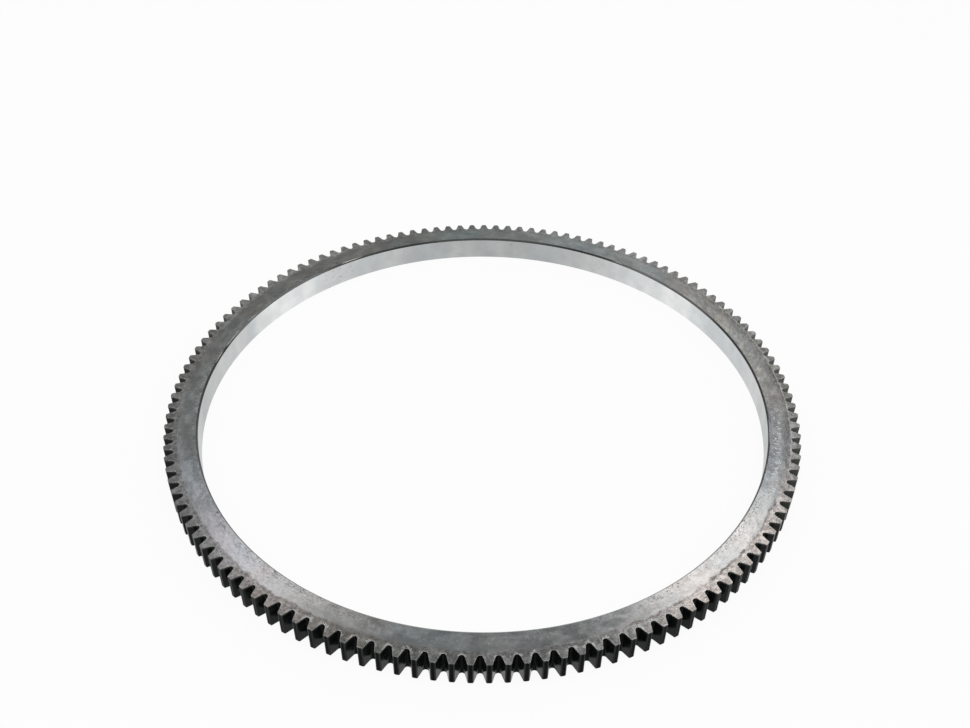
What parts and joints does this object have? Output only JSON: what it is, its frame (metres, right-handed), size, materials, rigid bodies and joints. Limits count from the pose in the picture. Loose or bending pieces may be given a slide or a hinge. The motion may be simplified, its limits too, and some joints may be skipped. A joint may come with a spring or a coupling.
{
  "type": "flywheel ring gear",
  "caption": "Flat steel starter ring gear for an engine flywheel: involute spur teeth round the outside, wide plain bore for a press fit, chamfered upper bore edge.",
  "frame": {"origin": "centre of the lower flat face, on which the ring lies", "axes": "+Z along the gear's axis, up from the lower face to the face with the chamfered bore edge; the middle of one tooth lies on +X"},
  "size_m": [0.4008, 0.4008, 0.0165],
  "materials": {
    "ring_steel": "dark mill scale on the flat faces, near black teeth, bright turned bore"
  },
  "bodies": {
    "root": {"ring_gear": "ring_steel"}
  },
  "joints": []
}
